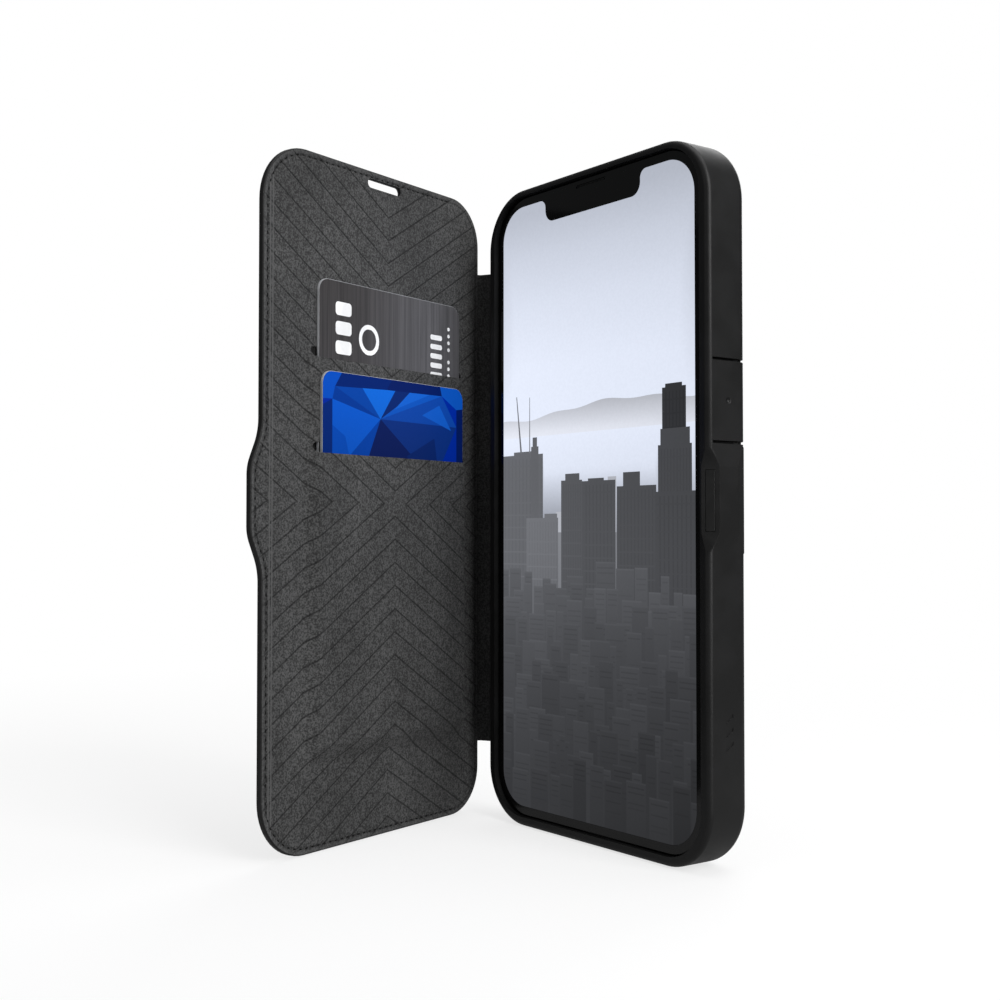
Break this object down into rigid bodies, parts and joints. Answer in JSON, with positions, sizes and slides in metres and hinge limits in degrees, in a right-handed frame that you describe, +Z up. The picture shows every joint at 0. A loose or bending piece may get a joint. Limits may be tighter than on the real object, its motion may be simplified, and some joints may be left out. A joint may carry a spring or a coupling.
{
  "type": "phone wallet case",
  "caption": "Folio phone case standing open: bumper shell holding a phone, leather spine strip and front cover with fabric liner, card pockets and closing tab.",
  "frame": {"origin": "middle of the bottom of the bounding box, on the surface the open case stands on", "axes": "+Z up along the phone's height, +X across the phone to its right seen from the screen, +Y from the screen to the phone's back"},
  "size_m": [0.0928, 0.089, 0.1619],
  "materials": {
    "bumper_rubber": "fine matte moulded",
    "plate_plastic": "matte",
    "microfibre": "short napped microfibre",
    "black_leather": "fine grained",
    "black_steel": "satin black",
    "core_board": "pressed board",
    "thread": "waxed thread",
    "phone_metal": "dark polished",
    "black_glass": "polished black backed",
    "phone_back": "satin backed",
    "display": "polished, showing a foggy skyline",
    "flash_plastic": "gloss",
    "card_metal": "dark brushed",
    "card_plastic": "satin print"
  },
  "bodies": {
    "shell": {"bumper_frame": "bumper_rubber", "back_plate": "plate_plastic", "shell_lining": "microfibre", "back_panel": "black_leather", "camera_guard": "bumper_rubber", "latch_keeper": "black_steel"},
    "power_button": {"power_button_pad": "bumper_rubber"},
    "volume_up": {"volume_up_pad": "bumper_rubber"},
    "volume_down": {"volume_down_pad": "bumper_rubber"},
    "phone": {"phone_frame": "phone_metal", "phone_front_glass": "black_glass", "phone_display": "display", "phone_earpiece": "black_steel", "phone_back_glass": "phone_back", "camera_plateau": "phone_back", "lens_1_ring": "phone_metal", "lens_1_glass": "black_glass", "lens_2_ring": "phone_metal", "lens_2_glass": "black_glass", "lens_3_ring": "phone_metal", "lens_3_glass": "black_glass", "camera_flash": "flash_plastic"},
    "spine": {"spine_skin": "black_leather", "spine_board": "core_board", "spine_lining": "microfibre"},
    "cover": {"cover_skin": "black_leather", "cover_board": "core_board", "cover_liner": "microfibre", "edge_stitching": "thread", "tab_magnet": "black_steel", "pocket_panel_upper": "microfibre", "pocket_panel_lower": "microfibre"},
    "upper_card": {"card_upper": "card_metal"},
    "lower_card": {"card_lower": "card_plastic"}
  },
  "joints": [
    {"name": "spine_hinge", "type": "hinge", "parent": "shell", "child": "spine", "pos_m": [-0.03438, 0.04251, 0.0806], "axis": [0, 0, -1], "range_deg": [-59.9, 115]},
    {"name": "cover_hinge", "type": "hinge", "parent": "spine", "child": "cover", "pos_m": [-0.0452, 0.03624, 0.0806], "axis": [0, 0, -1], "range_deg": [-11.6, 165]},
    {"name": "phone_lift", "type": "slide", "parent": "shell", "child": "phone", "axis": [0, -1, 0], "range_m": [0, 0.02]},
    {"name": "upper_card_pull", "type": "slide", "parent": "cover", "child": "upper_card", "axis": [0, 0, 1], "range_m": [0, 0.07]},
    {"name": "lower_card_pull", "type": "slide", "parent": "cover", "child": "lower_card", "axis": [0, 0, 1], "range_m": [0, 0.07]},
    {"name": "power_press", "type": "slide", "parent": "shell", "child": "power_button", "axis": [-1, 0, 0], "range_m": [0, 0.0004], "stiffness_N_per_m": 1500},
    {"name": "volume_up_press", "type": "slide", "parent": "shell", "child": "volume_up", "axis": [1, 0, 0], "range_m": [0, 0.0004], "stiffness_N_per_m": 1500},
    {"name": "volume_down_press", "type": "slide", "parent": "shell", "child": "volume_down", "axis": [1, 0, 0], "range_m": [0, 0.0004], "stiffness_N_per_m": 1500}
  ]
}
